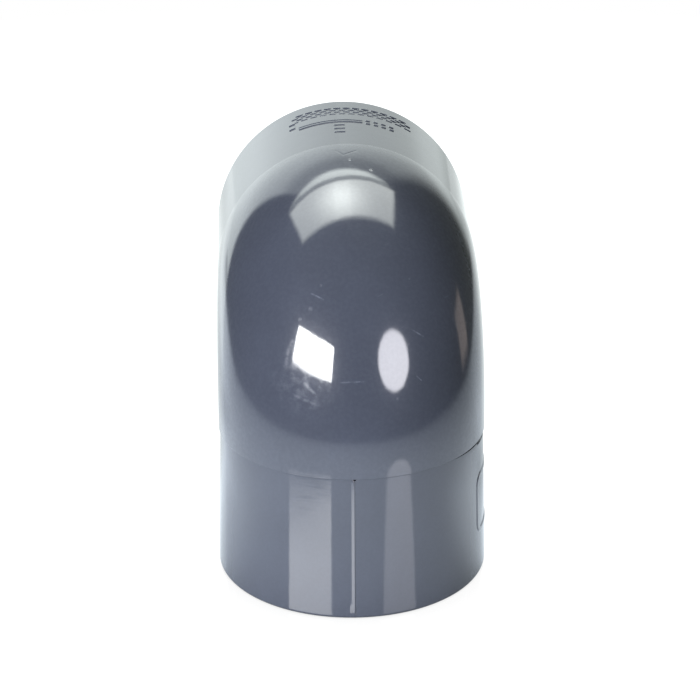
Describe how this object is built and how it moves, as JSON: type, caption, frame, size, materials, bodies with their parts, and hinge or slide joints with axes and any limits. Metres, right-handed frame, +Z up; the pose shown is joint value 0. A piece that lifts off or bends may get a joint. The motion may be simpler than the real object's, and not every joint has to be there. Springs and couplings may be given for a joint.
{
  "type": "pipe elbow",
  "caption": "Glossy grey 90 degree plastic pipe elbow with a round bend body and a plain push-in socket sleeve on each end.",
  "frame": {"origin": "on the floor, at the centre of the bounding box of the elbow as it stands on its lower socket", "axes": "+Z up along the lower socket, -Z out of the lower socket, +Y out of the upper socket, +X across the elbow to the side with the raised panel"},
  "size_m": [0.0338, 0.0502, 0.0502],
  "materials": {
    "bend_pvc": "polished blue-grey moulded plastic",
    "sleeve_pvc": "glossy blue-grey moulded plastic with fine machining lines"
  },
  "bodies": {
    "root": {"bend_body": "bend_pvc", "lower_socket_sleeve": "sleeve_pvc", "upper_socket_sleeve": "sleeve_pvc"}
  },
  "joints": []
}
